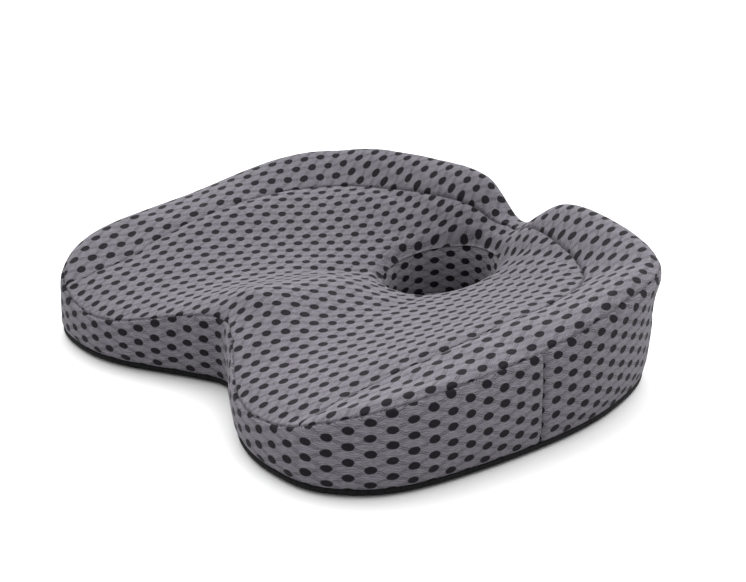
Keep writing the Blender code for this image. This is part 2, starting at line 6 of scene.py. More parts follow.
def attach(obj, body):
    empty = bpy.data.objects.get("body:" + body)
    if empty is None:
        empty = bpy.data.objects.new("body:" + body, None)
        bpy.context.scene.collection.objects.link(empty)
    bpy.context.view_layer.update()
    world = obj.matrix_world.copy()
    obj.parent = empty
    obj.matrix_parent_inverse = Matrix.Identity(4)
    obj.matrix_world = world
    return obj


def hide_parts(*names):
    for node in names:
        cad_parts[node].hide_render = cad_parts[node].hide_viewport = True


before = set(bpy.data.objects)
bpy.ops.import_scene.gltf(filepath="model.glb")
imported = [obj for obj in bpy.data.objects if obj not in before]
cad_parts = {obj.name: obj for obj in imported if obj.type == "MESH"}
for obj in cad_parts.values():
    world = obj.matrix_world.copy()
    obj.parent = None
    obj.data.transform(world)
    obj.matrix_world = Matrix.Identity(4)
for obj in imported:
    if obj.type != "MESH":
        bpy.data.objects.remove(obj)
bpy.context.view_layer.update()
MM = 0.001

# ---- Foam core ----------------------------------------------------------------------------------------
# One block of slow-recovery foam, moulded to the shape of the thighs and buttocks, with an open skin of
# fine cells. It is cream coloured and nothing is fixed to it: the covers are pulled over it.

WIDTH = 448.0
DEPTH = 368.0
CREST = 96.0
CENTRE_Y = 2.57

# The seam round the top edge, from the front notch to the middle of the rear: x and y as parts of half
# the width and depth, height as a part of the crest height, and how far the base stands outside it in mm.
OUTLINE = (
    (0.00, -0.72, 0.590, 0.5),
    (0.12, -0.78, 0.570, 0.0),
    (0.39, -0.97, 0.415, -1.5),
    (0.61, -1.00, 0.420, 0.5),
    (0.80, -0.92, 0.560, 2.5),
    (0.94, -0.66, 0.690, 2.0),
    (0.99, -0.09, 0.790, 1.0),
    (0.97, 0.37, 0.925, -4.0),
    (0.845, 0.75, 0.950, -9.0),
    (0.54, 0.945, 0.980, -10.0),
    (0.23, 1.00, 0.965, -8.0),
    (0.00, 0.98, 0.690, -6.0),
)
# The seam between seat and border, from the middle of the rear to where it meets the edge at the front.
INNER_SEAM = (
    (0.00, 0.875, 0.690),
    (0.17, 0.820, 0.790),
    (0.36, 0.750, 0.820),
    (0.55, 0.650, 0.815),
    (0.68, 0.500, 0.810),
    (0.75, 0.240, 0.815),
    (0.76, 0.000, 0.800),
    (0.755, -0.270, 0.740),
    (0.73, -0.500, 0.660),
    (0.705, -0.700, 0.570),
)
SEAM_MEETS_EDGE = 3.5
# The ridge between notch and hole, as parts of the way along it and heights, and the heights of the
# hollow on either side.
RIDGE = ((0.12, 0.710), (0.35, 0.703), (0.60, 0.647), (0.86, 0.547))
HOLLOW = (
    (0.17, -0.72, 0.568),
    (0.36, -0.72, 0.506),
    (0.55, -0.72, 0.525),
    (0.17, -0.42, 0.599),
    (0.36, -0.42, 0.542),
    (0.55, -0.42, 0.596),
    (0.17, -0.12, 0.545),
    (0.36, -0.12, 0.553),
    (0.55, -0.12, 0.631),
    (0.36, 0.20, 0.553),
    (0.55, 0.20, 0.681),
    (0.36, 0.50, 0.623),
    (0.55, 0.50, 0.760),
)
HOLE_WIDTH = 88.0
HOLE_LENGTH = 104.0
HOLE_TO_SEAM = 25.0
RIM_HEIGHT = 0.48
RIM_TILT = 0.073
BASE_SEAM_Z = 6.0

COLUMNS = 720
FOAM_INSET = 5.6
FOAM_LOW = 2.7
FOAM_COLOUR = "#e9dfc3"


def scaled(rows):
    """Rows of x, y and height in mm: each share times half the width, half the depth and the crest."""
    size = (WIDTH / 2, DEPTH / 2, CREST)
    return np.array(rows, float)[:, :3] * size + (0.0, CENTRE_Y, 0.0)


def curve(rows, closed, per_span=40):
    """A Catmull-Rom curve: on each span a cubic through both ends, with slopes half of (next - last)."""
    if closed:
        points = np.concatenate([rows[-1:], rows, rows[:2]])
    else:
        points = np.concatenate([[2 * rows[0] - rows[1]], rows, [2 * rows[-1] - rows[-2]]])
    a, b, c, d = (points[i : len(points) - 3 + i, None] for i in range(4))
    t = np.linspace(0, 1, per_span, endpoint=False)[None, :, None]
    cube = 3 * b - a - 3 * c + d
    on = 0.5 * (2 * b + (c - a) * t + (2 * a - 5 * b + 4 * c - d) * t**2 + cube * t**3)
    on = on.reshape(-1, rows.shape[1])
    return on if closed else np.concatenate([on, rows[-1:]])


def outward(loop):
    """Unit normal of a closed plan loop: its direction turned a quarter clockwise."""
    along = np.roll(loop, -1, 0) - np.roll(loop, 1, 0)
    length = np.hypot(along[:, 0], along[:, 1])
    return np.stack([along[:, 1], -along[:, 0]], 1) / length[:, None]


def spline_kernel(a, b):
    """Thin-plate kernel: squared distance times its logarithm."""
    square = ((a[:, None] - b) ** 2).sum(2) / (WIDTH / 2) ** 2
    return square * np.log(square + 1e-12)


right = np.array(OUTLINE, float)
left = right[-2:0:-1] * (-1, 1, 1, 1)
rows = np.concatenate([right, left])
stations = np.column_stack([scaled(rows), rows[:, 3]])
dense = curve(stations, True)
step = np.hypot(*(np.roll(dense, -1, 0) - dense)[:, :2].T)
length = np.concatenate([[0], np.cumsum(step)])
EDGE_LENGTH = length[-1]
at = np.linspace(0, EDGE_LENGTH, COLUMNS, endpoint=False)
ring = np.concatenate([dense, dense[:1]])
EDGE, EDGE_Z, LEAN = np.split(np.stack([np.interp(at, length, col) for col in ring.T], 1), [2, 3], 1)
EDGE_OUT = outward(EDGE)
BASE = EDGE + EDGE_OUT * LEAN

inner = scaled(INNER_SEAM)
HOLE_Y = inner[0, 1] - HOLE_TO_SEAM - HOLE_LENGTH / 2
HOLE = np.array((0.0, HOLE_Y))
spokes = EDGE - HOLE
SPOKE_ANGLE = np.unwrap(np.arctan2(spokes[:, 1], spokes[:, 0]))
SPOKE = np.stack([np.cos(SPOKE_ANGLE), np.sin(SPOKE_ANGLE)], 1)
half_hole = np.array((HOLE_WIDTH, HOLE_LENGTH)) / 2
RIM_REACH = 1 / np.hypot(*(SPOKE / half_hole).T)
RIM = HOLE + SPOKE * RIM_REACH[:, None]
RIM_Z = (RIM_HEIGHT + RIM_TILT * (RIM[:, 1] - HOLE_Y) / half_hole[1]) * CREST

# Where each spoke from the hole crosses the inner seam, or the edge where the seam has met it.
meeting = dense[round(SEAM_MEETS_EDGE * 40), :2]
half_seam = curve(np.concatenate([inner[:, :2], meeting[None]]), False)
seam = np.concatenate([half_seam[:0:-1] * (-1, 1), half_seam]) - HOLE
seam_angle = np.unwrap(np.arctan2(-seam[:, 0], -seam[:, 1]))
turned = np.arctan2(-SPOKE[:, 0], -SPOKE[:, 1]) % (2 * np.pi)
order = np.argsort(seam_angle)
reach = np.interp(turned, seam_angle[order], np.hypot(*seam[order].T), left=np.inf, right=np.inf)
EDGE_REACH = np.hypot(*spokes.T)
SEAM_REACH = np.minimum(reach, EDGE_REACH)

ridge = np.array(RIDGE)
notch_y = stations[0, 1]
ridge_y = notch_y + (HOLE_Y - half_hole[1] - notch_y) * ridge[:, 0]
known = np.concatenate(
    [
        stations[:, :3],
        inner,
        inner[1:] * (-1, 1, 1),
        np.column_stack([np.zeros(len(ridge)), ridge_y, ridge[:, 1] * CREST]),
        scaled(HOLLOW),
        scaled(HOLLOW) * (-1, 1, 1),
        np.column_stack([RIM, RIM_Z])[:: COLUMNS // 16],
    ]
)
plane = np.column_stack([np.ones(len(known)), known[:, :2] / (WIDTH / 2)])
system = np.block([[spline_kernel(known[:, :2], known[:, :2]), plane], [plane.T, np.zeros((3, 3))]])
weights = np.linalg.solve(system, np.concatenate([known[:, 2], np.zeros(3)]))


def form_height(points):
    """Height of the form: the smooth thin-plate surface through every named height."""
    flat = np.column_stack([np.ones(len(points)), points / (WIDTH / 2)])
    return spline_kernel(points, known[:, :2]) @ weights[:-3] + flat @ weights[-3:]


EDGE_MISS = EDGE_Z[:, 0] - form_height(EDGE)
RIM_MISS = RIM_Z - form_height(RIM)


def top_grid(start, end, rows):
    """Points along every spoke between two reaches, on the form, with the edge and rim heights exact.
    Height is the form plus each end's error fading over 20 mm. Also gives the distance to the edge."""
    share = np.linspace(0, 1, rows)[:, None]
    out = start + (end - start) * share
    plan = HOLE + SPOKE * out[..., None]
    facing = (SPOKE * EDGE_OUT).sum(1)
    from_edge = (EDGE_REACH - out) * facing
    from_rim = out - RIM_REACH
    z = form_height(plan.reshape(-1, 2)).reshape(plan.shape[:2])
    z += EDGE_MISS * np.exp(-from_edge / 20) + RIM_MISS * np.exp(-from_rim / 20)
    return np.dstack([plan, z]), from_edge, from_rim


def wall_grid(low, top, rows, inset):
    """Points down the wall: a straight line from the seam to the base seam, drawn in by the inset."""
    share = np.linspace(0, 1, rows)[:, None]
    z = top + (low - top) * share
    up = (z - BASE_SEAM_Z) / (EDGE_Z[:, 0] - BASE_SEAM_Z)
    plan = BASE + (EDGE - BASE) * up[..., None] - EDGE_OUT * np.broadcast_to(inset, z.shape)[..., None]
    return np.dstack([plan, z]), up


def surface(name, points, uv=None, lap=0.0, closed=True, tube=True, capped=True, shade=None):
    """A mesh of quads over a grid of points in mm. A closed grid joins its last column to its first and a
    tube its last row to its first. Ends left open are capped. The cloth's u grows by a lap each turn, and
    the shade is how much painted shade darkens each point along the seams' grooves, from 0 to 1."""
    number = np.arange(points.shape[0] * points.shape[1]).reshape(points.shape[:2])
    joins = ((0, int(tube)), (0, int(closed)))
    grid = np.pad(number, joins, mode="wrap")
    quads = np.stack([grid[:-1, :-1], grid[1:, :-1], grid[1:, 1:], grid[:-1, 1:]], -1).reshape(-1, 4)
    caps = []
    if capped and not closed:
        caps = [number[::-1, 0], number[:, -1]]
    elif capped and not tube:
        caps = [number[0], number[-1, ::-1]]
    sizes = np.array([4] * len(quads) + [len(cap) for cap in caps])
    mesh = bpy.data.meshes.new(name)
    mesh.vertices.add(number.size)
    mesh.vertices.foreach_set("co", (points * MM).astype(np.float32).ravel())
    mesh.loops.add(int(sizes.sum()))
    mesh.loops.foreach_set("vertex_index", np.concatenate([quads.ravel(), *caps]).astype(np.int32))
    mesh.polygons.add(len(sizes))
    mesh.polygons.foreach_set("loop_start", (np.cumsum(sizes) - sizes).astype(np.int32))
    mesh.update(calc_edges=True)
    mesh.polygons.foreach_set("use_smooth", np.arange(len(sizes)) < len(quads))
    if uv is not None:
        edge = np.pad(uv, joins + ((0, 0),), mode="wrap")
        edge[:, -1, 0] += lap
        corner = np.stack([edge[:-1, :-1], edge[1:, :-1], edge[1:, 1:], edge[:-1, 1:]], 2).reshape(-1, 2)
        corner = np.concatenate([corner] + [uv.reshape(-1, 2)[cap] for cap in caps])
        mesh.uv_layers.new(name="cloth").uv.foreach_set("vector", corner.astype(np.float32).ravel())
    if shade is not None:
        mesh.attributes.new("painted_seam_shade", "FLOAT", "POINT").data.foreach_set("value", shade.ravel())
    made = bpy.data.objects.new(name, mesh)
    bpy.context.scene.collection.objects.link(made)
    return made


def srgb(code):
    """A colour from its hex code: ((c + 0.055) / 1.055) to the power 2.4, or c / 12.92 below 0.04045."""
    c = np.array([int(code[i : i + 2], 16) for i in (1, 3, 5)]) / 255
    return (*np.where(c > 0.04045, ((c + 0.055) / 1.055) ** 2.4, c / 12.92).tolist(), 1.0)


def node(tree, kind, inputs, **settings):
    """A shader node with its settings, and each input a value or another node's socket. Gives its first output."""
    made = tree.nodes.new(kind)
    for key, value in settings.items():
        setattr(made, key, value)
    for key, value in inputs.items():
        if isinstance(value, bpy.types.NodeSocket):
            tree.links.new(value, made.inputs[key])
        else:
            made.inputs[key].default_value = value
    return made.outputs[0]


def calc(tree, operation, *values):
    """One step of arithmetic on sockets or numbers."""
    return node(tree, "ShaderNodeMath", dict(enumerate(values)), operation=operation)


def ramp(tree, value, start, end, low=0.0, high=1.0):
    """A smooth step from low to high as the value goes from start to end."""
    inputs = {0: value, 1: start, 2: end, 3: low, 4: high}
    return node(tree, "ShaderNodeMapRange", inputs, interpolation_type="SMOOTHSTEP")


def blended(tree, share, first, second):
    """One colour turning into another as the share goes from 0 to 1."""
    made = tree.nodes.new("ShaderNodeMix")
    made.data_type = "RGBA"
    for index, value in ((0, share), (6, first), (7, second)):
        if isinstance(value, bpy.types.NodeSocket):
            tree.links.new(value, made.inputs[index])
        else:
            made.inputs[index].default_value = value
    return made.outputs[2]


def material(name, colour, roughness, **sockets):
    """A new material, its node tree and its shader, with uniform values on the shader's own sockets."""
    made = bpy.data.materials.new(name)
    made.use_nodes = True
    shader = made.node_tree.nodes["Principled BSDF"]
    shader.inputs["Base Color"].default_value = srgb(colour)
    shader.inputs["Roughness"].default_value = roughness
    for key, value in sockets.items():
        shader.inputs[key.replace("_", " ")].default_value = value
    return made, made.node_tree, shader


def in_mm(tree):
    """The piece's own coordinates in mm."""
    place = tree.nodes.new("ShaderNodeTexCoord").outputs["Object"]
    return node(tree, "ShaderNodeVectorMath", {0: place, 3: 1 / MM}, operation="SCALE")


def noise(tree, vector, size, detail=2.0):
    """Soft noise from 0 to 1, with blobs of about this size in mm."""
    inputs = {"Vector": vector, "Scale": 1 / size, "Detail": detail}
    return node(tree, "ShaderNodeTexNoise", inputs)


def wrapped(outer, back):
    """One closed sheet: the outer face's rows, then the back face's rows the other way."""
    return np.concatenate([outer, back[::-1]])


def raised(tree, shader, height, depth):
    """Relief on the shader, the height from 0 to 1 standing for this depth in mm."""
    bump = node(tree, "ShaderNodeBump", {"Height": height, "Distance": depth * MM, "Strength": 1.0})
    tree.links.new(bump, shader.inputs["Normal"])


def hidden_skin(inset, low, hole_gap):
    """The form drawn in by an inset: from a gap beside the hole's rim, over the top and down the wall to a low edge.
    """
    start = RIM_REACH + hole_gap
    top, from_edge, _ = top_grid(start, EDGE_REACH - inset, 50)
    top[..., 2] -= inset
    top[..., 2] = np.minimum(top[..., 2], EDGE_Z[:, 0] - inset + 0 * from_edge + from_edge * 1.2)
    wall, _ = wall_grid(low, top[-1, :, 2], 20, inset)
    return top, wall


foam_finish, tree, shader = material("moulded_foam", FOAM_COLOUR, 0.9, Subsurface_Weight=0.1)
cells = node(tree, "ShaderNodeTexVoronoi", {"Vector": in_mm(tree), "Scale": 1 / 0.8})
raised(tree, shader, cells, 0.3)
tone = blended(tree, noise(tree, in_mm(tree), 30.0), srgb("#e2d6b6"), srgb("#efe6cd"))
tree.links.new(tone, shader.inputs["Base Color"])

top, wall = hidden_skin(FOAM_INSET, FOAM_LOW, 3.2)
bore = np.linspace(FOAM_LOW, top[0, :, 2], 24)[:-1]
bore = np.dstack([np.broadcast_to(top[0, :, :2], (23, COLUMNS, 2)), bore])
share = np.linspace(0, 1, 40)[1:, None, None]
under = wall[-1] + (bore[0] - wall[-1]) * share


def channel(plan, lift, flat, foot):
    """How far a layer rises over the zip: flat in the middle, sloping away at the sides and ends."""
    side = (foot - np.abs(plan[..., 1] - ZIP_Y)) / (foot - flat)
    end = (ZIP_HALF + 22 - np.abs(plan[..., 0])) / 12
    return lift * np.clip(np.minimum(side, end), 0, 1)


ZIP_Y = -50.0
ZIP_HALF = 170.0
under[:-1, :, 2] += channel(under[:-1], 7.7, 13.5, 24.0)
foam = surface("foam", np.concatenate([bore, top, wall[1:], under[:-1]]))
foam.data.materials.append(foam_finish)
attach(foam, "cushion")
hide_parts("foam_core")

# ---- Liner --------------------------------------------------------------------------------------------
# A sock of thin white knit that keeps the foam clean. It is one sheet over the top and wall, left open at
# the hole, and a flat sheet underneath, sewn together round the lower edge.

LINER_INSET = 3.9
LINER_THICKNESS = 0.7

liner_finish, tree, shader = material("white_knit", "#e6e6e3", 0.9, Sheen_Weight=0.3)
wales = node(tree, "ShaderNodeTexWave", {"Vector": in_mm(tree), "Scale": 0.35, "Distortion": 2.0})
raised(tree, shader, wales, 0.2)
tone = blended(tree, wales, srgb("#d5d5d2"), srgb("#ececea"))
tree.links.new(tone, shader.inputs["Base Color"])

faces = []
for inset in (LINER_INSET, LINER_INSET + LINER_THICKNESS):
    top, wall = hidden_skin(inset, FOAM_LOW, 3.0)
    faces.append(np.concatenate([top, wall[1:]]))
liner = surface("liner", wrapped(*faces))
share = np.linspace(1, 0.004, 60)[:, None, None]
sheet = (BASE - EDGE_OUT * 6.6)[None] * share
sheets = [np.dstack([sheet, z + channel(sheet, 7.7, 13.5, 24.0)]) for z in (1.5, 2.1)]
sheets[0][0, :, 2], sheets[1][0, :, 2] = 1.5, 2.1
liner_base = surface("liner_base_knit", np.concatenate([sheets[1][::-1], sheets[0]]), tube=False)
for piece, cad in ((liner, "liner_top"), (liner_base, "liner_base")):
    piece.data.materials.append(liner_finish)
    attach(piece, "cushion")
    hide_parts(cad)

# ---- Seat panel ---------------------------------------------------------------------------------------
# The middle of the cover: grey three-layer spacer mesh, knitted with staggered oval openings. Its edge is
# turned in and sewn to the border, to the front wall and to the lining of the hole.

SEAM_DEPTH = 2.0
SEAM_HALF = 1.1
CROWN_LOW = 0.8
CROWN_HIGH = 5.2
CORNER_RISE = 3.2
CROWN_WIDTH = 12.0
FADE = 55.0
PANEL_THICKNESS = 2.4

HOLE_PITCH_ACROSS = 28.2
HOLE_PITCH_UP = 11.2
OPENING = (4.3, 2.9)
COURSE = 1.25
MESH_LIGHT = "#66636a"
# The dark of the stitches, of the back layer seen through the openings, and of the painted shade in the openings and
# seam grooves.
MESH_DARK = "#161419"


def spacer_mesh(name, light, dark, shift):
    """Spacer mesh, from the piece's cloth coordinates u and v in mm. With a = u/28.2 + v/11.2 and
    b = u/28.2 - v/11.2 an oval opening sits at every whole pair, and stitches run along a and b."""
    made, tree, shader = material(name, light, 0.95, Sheen_Weight=0.04, Specular_IOR_Level=0.12)
    cloth = node(tree, "ShaderNodeUVMap", {}, uv_map="cloth")
    warp = tree.nodes.new("ShaderNodeTexNoise")
    warp.inputs["Scale"].default_value = 1 / 9
    warp.inputs["Detail"].default_value = 1.0
    tree.links.new(cloth, warp.inputs["Vector"])
    offset = node(tree, "ShaderNodeVectorMath", {0: warp.outputs["Color"], 1: (0.5, 0.5, 0.5)}, operation="SUBTRACT")
    offset = node(tree, "ShaderNodeVectorMath", {0: offset, 3: 1.6}, operation="SCALE")
    bent = node(tree, "ShaderNodeVectorMath", {0: cloth, 1: offset}, operation="ADD")
    bent = node(tree, "ShaderNodeVectorMath", {0: bent, 1: (*shift, 0.0)}, operation="ADD")
    split = tree.nodes.new("ShaderNodeSeparateXYZ")
    tree.links.new(bent, split.inputs[0])
    u = calc(tree, "DIVIDE", split.outputs[0], HOLE_PITCH_ACROSS)
    v = calc(tree, "DIVIDE", split.outputs[1], HOLE_PITCH_UP)
    a, b = calc(tree, "ADD", u, v), calc(tree, "SUBTRACT", u, v)
    off_a = calc(tree, "SUBTRACT", a, calc(tree, "ROUND", a))
    off_b = calc(tree, "SUBTRACT", b, calc(tree, "ROUND", b))
    du = calc(tree, "MULTIPLY", calc(tree, "ADD", off_a, off_b), HOLE_PITCH_ACROSS / 2 / OPENING[0])
    dv = calc(tree, "MULTIPLY", calc(tree, "SUBTRACT", off_a, off_b), HOLE_PITCH_UP / 2 / OPENING[1])
    reach = calc(tree, "SQRT", calc(tree, "ADD", calc(tree, "MULTIPLY", du, du), calc(tree, "MULTIPLY", dv, dv)))
    opening = ramp(tree, reach, 0.82, 1.12, 1.0, 0.0)
    rows = None
    for line, along in ((off_a, b), (off_b, a)):
        aside = calc(tree, "MULTIPLY", calc(tree, "ABSOLUTE", line), 10.4)
        pair = calc(tree, "ABSOLUTE", calc(tree, "SUBTRACT", aside, 0.7))
        ladder = ramp(tree, pair, 0.15, 0.6, 1.0, 0.0)
        beat = calc(tree, "SINE", calc(tree, "MULTIPLY", along, 2 * np.pi * 11))
        dots = calc(tree, "MULTIPLY", ladder, ramp(tree, beat, -0.3, 0.6))
        rows = dots if rows is None else calc(tree, "MAXIMUM", rows, dots)
    outside = ramp(tree, reach, 1.05, 1.3)
    stitches = calc(tree, "MULTIPLY", rows, outside)
    stretched = node(tree, "ShaderNodeVectorMath", {0: bent, 1: (0.16, 1.0, 1.0)}, operation="MULTIPLY")
    bend = calc(tree, "MULTIPLY", noise(tree, bent, 5.0, 1.0), 14.0)
    course = calc(tree, "MULTIPLY", calc(tree, "MULTIPLY", v, HOLE_PITCH_UP), 2 * np.pi / COURSE)
    ribs = calc(tree, "SINE", calc(tree, "ADD", course, bend))
    flecks = ramp(tree, noise(tree, stretched, 0.8, 2.0), 0.3, 0.7, -1.0, 1.0)
    shade = ramp(tree, calc(tree, "ADD", ribs, flecks), -1.6, 1.6, 0.0, 1.0)
    low, high = (tuple(c * k for c in srgb(light)[:3]) + (1.0,) for k in (0.74, 1.42))
    yarn = blended(tree, shade, low, high)
    yarn = blended(tree, calc(tree, "MULTIPLY", stitches, 0.85), yarn, srgb(dark))
    # The openings are painted dark: the darker back layer seen through them, and painted shade of their depth, as the
    # cloth is flat there.
    tone = blended(tree, opening, yarn, srgb(dark))
    # Painted shade: the cloth is darkened along its seams' grooves by the seam shade attribute.
    seam = tree.nodes.new("ShaderNodeAttribute")
    seam.attribute_name = "painted_seam_shade"
    tone = blended(tree, seam.outputs["Fac"], tone, srgb(dark))
    tree.links.new(tone, shader.inputs["Base Color"])
    height = calc(tree, "SUBTRACT", calc(tree, "MULTIPLY", shade, 0.12), calc(tree, "MULTIPLY", stitches, 0.25))
    height = calc(tree, "SUBTRACT", height, opening)
    raised(tree, shader, height, 1.1)
    return made


def crowned(distance):
    """Rise of padded cloth beside a seam, in mm: a rise from the seam over the crown's width,
    1 - (1 - d/w) squared, which then fades away."""
    near = 1 - (1 - np.clip(distance / CROWN_WIDTH, 0, 1)) ** 2
    far = np.clip((distance - CROWN_WIDTH) / FADE, 0, 1)
    size = CROWN_LOW + (CROWN_HIGH - CROWN_LOW) * np.clip(EDGE_Z[:, 0] / CREST * 2 - 0.9, 0, 1) ** 3
    for place in (length[8 * 40] + 10, length[14 * 40] - 10):
        size = size + CORNER_RISE * np.exp(-(((at - place) / 75) ** 2))
    return size * near * (1 - far * far * (3 - 2 * far))


def groove(distance, depth=SEAM_DEPTH, half=SEAM_HALF):
    """How far a seam draws the cloth in: depth times exp(-(d / half) squared)."""
    return depth * np.exp(-((distance / half) ** 2))


def beside_seam(start):
    """Rows that lie closest together at both ends: (1 - cos(pi t)) / 2."""
    return (1 - np.cos(np.pi * start)) / 2


# The cover as it is pulled over the foam: pinned at its seams and blown up a little, on a coarse grid.
SIM_COLUMNS = 240
SIM_TOP = 28
SIM_WALL = 12
MOST_SLACK = 2.5
# Ripples shorter than the way round divided by this are smoothed out: the mesh is too thick for them.
SMOOTHEST = 38
skip = COLUMNS // SIM_COLUMNS


def slackened(points, pinned):
    """Where air pressure and a little spare cloth move the points of a closed ring grid, in mm."""
    made = surface("slack_cover", points, tube=False, capped=False)
    group = made.vertex_groups.new(name="seams")
    weights = np.clip(pinned.ravel(), 0, 1)
    for level in np.unique(np.round(weights, 1)):
        picked = np.flatnonzero(np.round(weights, 1) == level).tolist()
        group.add(picked, float(level), "REPLACE")
    cloth = made.modifiers.new("cloth", "CLOTH")
    cloth.settings.quality = 6
    cloth.settings.mass = 0.2
    cloth.settings.tension_stiffness = 12
    cloth.settings.compression_stiffness = 12
    cloth.settings.bending_stiffness = 0.6
    cloth.settings.shrink_min = -0.008
    cloth.settings.use_pressure = True
    cloth.settings.uniform_pressure_force = 4.0
    cloth.settings.vertex_group_mass = "seams"
    cloth.settings.pin_stiffness = 1.0
    cloth.settings.effector_weights.gravity = 0.0
    cloth.point_cache.frame_start = 1
    cloth.point_cache.frame_end = 20
    for number in range(1, 21):
        bpy.context.scene.frame_set(number)
    ready = made.evaluated_get(bpy.context.evaluated_depsgraph_get())
    after = np.empty(points.size, np.float32)
    ready.data.vertices.foreach_get("co", after)
    bpy.data.objects.remove(made, do_unlink=True)
    bpy.context.scene.frame_set(1)
    moved = after.reshape(points.shape) / MM - points
    size = np.linalg.norm(moved, axis=2, keepdims=True)
    return moved * np.minimum(1, MOST_SLACK / np.maximum(size, 1e-9))


top, from_edge, from_rim = top_grid(RIM_REACH, EDGE_REACH, SIM_TOP)
wall, _ = wall_grid(BASE_SEAM_Z, EDGE_Z[:, 0], SIM_WALL, 0.0)
coarse = np.concatenate([top, wall[1:]])[:, ::skip]
along = at[None, ::skip]
side_seam_at = [length[6 * 40], length[len(rows) * 40 - 6 * 40]]
from_side = np.min([np.abs(along - s) for s in side_seam_at], 0)
from_seam = np.abs(RIM_REACH + (EDGE_REACH - RIM_REACH) * np.linspace(0, 1, SIM_TOP)[:, None] - SEAM_REACH)[:, ::skip]
pins = np.zeros(coarse.shape[:2])
pins[:SIM_TOP] = np.where(from_seam < 4.0, 1.0, 0.0)
pins[[0, SIM_TOP - 1, -1]] = 1.0
pins[SIM_TOP:] = np.maximum(pins[SIM_TOP:], np.where(from_side < 3.5, 1.0, 0.0))
SLACK = slackened(coarse, pins)
spectrum = np.fft.rfft(SLACK, axis=1)
spectrum *= np.exp(-((np.arange(SIM_COLUMNS // 2 + 1) / SMOOTHEST) ** 2))[:, None]
SLACK = np.fft.irfft(spectrum, n=COLUMNS, axis=1) * skip


def slack(field, rows):
    """The slack at fractional rows of its grid, by the cubic through the four nearest rows."""
    rows = np.clip(rows, 0, len(field) - 1)
    low = np.minimum(rows.astype(int), len(field) - 2)
    t = (rows - low)[..., None]
    column = np.broadcast_to(np.arange(COLUMNS), low.shape)
    a, b, c, d = (field[np.clip(low + k, 0, len(field) - 1), column] for k in (-1, 0, 1, 2))
    return b + 0.5 * t * (c - a + t * (2 * a - 5 * b + 4 * c - d + t * (3 * b - a - 3 * c + d)))


def cover(start, end, rows):
    """The top of the cover between two reaches: the form, its slack, the crown beside the outer seam,
    and the grooves where it is sewn. The seam's groove is left out where the border has run out. Also
    gives the cloth's place in plan, moved out by each slope's extra length, and the painted shade along the seams'
    grooves."""
    share = beside_seam(np.linspace(0, 1, rows))[:, None]
    out = start + (end - start) * share
    plan = HOLE + SPOKE * out[..., None]
    facing = (SPOKE * EDGE_OUT).sum(1)
    from_edge = (EDGE_REACH - out) * facing
    from_rim = out - RIM_REACH
    z = form_height(plan.reshape(-1, 2)).reshape(plan.shape[:2])
    z += EDGE_MISS * np.exp(-from_edge / 20) + RIM_MISS * np.exp(-from_rim / 20)
    points = np.dstack([plan, z])
    points += slack(SLACK[:SIM_TOP], (out - RIM_REACH) / (EDGE_REACH - RIM_REACH) * (SIM_TOP - 1))
    points[..., 2] += crowned(from_edge)
    steps = np.diff(np.dstack([out, points[..., 2]]), axis=0)
    extra = np.hypot(steps[..., 0], steps[..., 1]) - np.abs(steps[..., 0])
    none = np.zeros((1, COLUMNS))
    past = np.concatenate([none, np.cumsum(extra * (from_edge[1:] < STEEP_REACH), axis=0)])
    back = np.concatenate([none, np.cumsum((extra * (from_rim[:-1] < STEEP_REACH))[::-1], axis=0)])[::-1]
    cloth = plan + SPOKE * (past - back)[..., None]
    from_seam = np.abs(out - SEAM_REACH) * SEAM_FACING
    width = np.clip((EDGE_REACH - SEAM_REACH) * facing / 20, 0, 1)
    pull = SIDE_PULL + (1 - SIDE_PULL) * np.clip(plan[..., 1] / PULL_FULL_Y, 0, 1)
    # Painted shade along the grooves of the inner seam and the top edge.
    shade = np.maximum(PAINTED_SEAM_SHADE * pull * groove(from_seam, 1.0) * (width > 0), PAINTED_EDGE_SHADE * groove(from_edge, 1.0))
    points[..., 2] -= groove(from_edge, 1.0)
    points[..., 2] -= (groove(from_seam) + groove(from_seam, 0.7, 5.0)) * width * pull
    points[..., 2] += 1.0 * np.exp(-(((from_rim - 9) / 6) ** 2)) - groove(from_rim, 4.0, 5.0)
    points[..., :2] -= EDGE_OUT * groove(from_edge, 1.0)[..., None]
    return points, cloth, shade


along_seam = np.roll(SEAM_REACH[:, None] * SPOKE, -1, 0) - np.roll(SEAM_REACH[:, None] * SPOKE, 1, 0)
along_seam /= np.hypot(*along_seam.T)[:, None]
SEAM_FACING = np.abs(SPOKE[:, 0] * along_seam[:, 1] - SPOKE[:, 1] * along_seam[:, 0])

# How the cloth lies on each top panel: its direction and stretch, and where its openings fall.
SEAT_LAY = ((0.0, 1.085, 18.2), (0.965, 0.0, 2.1))
BORDER_LAY = ((0.05, 0.98, 22.0), (0.87, 0.07, -23.5))
# How far from the hole and from the outer edge the cloth follows the slope's own length.
STEEP_REACH = 30.0
# How dark the painted shade is along the grooves of the inner seam and the side seams.
PAINTED_SEAM_SHADE = 0.45
# The inner seam pulls in hard across the rear and less down the sides.
SIDE_PULL = 0.35
PULL_FULL_Y = 120.0
# How dark the painted shade is along the groove of the top edge.
PAINTED_EDGE_SHADE = 0.3


def laid(points, lay):
    """Cloth coordinates in mm from plan x and y: each is a share of x, a share of y and a shift."""
    return np.stack([points[..., 0] * a + points[..., 1] * b + c for a, b, c in lay], -1)


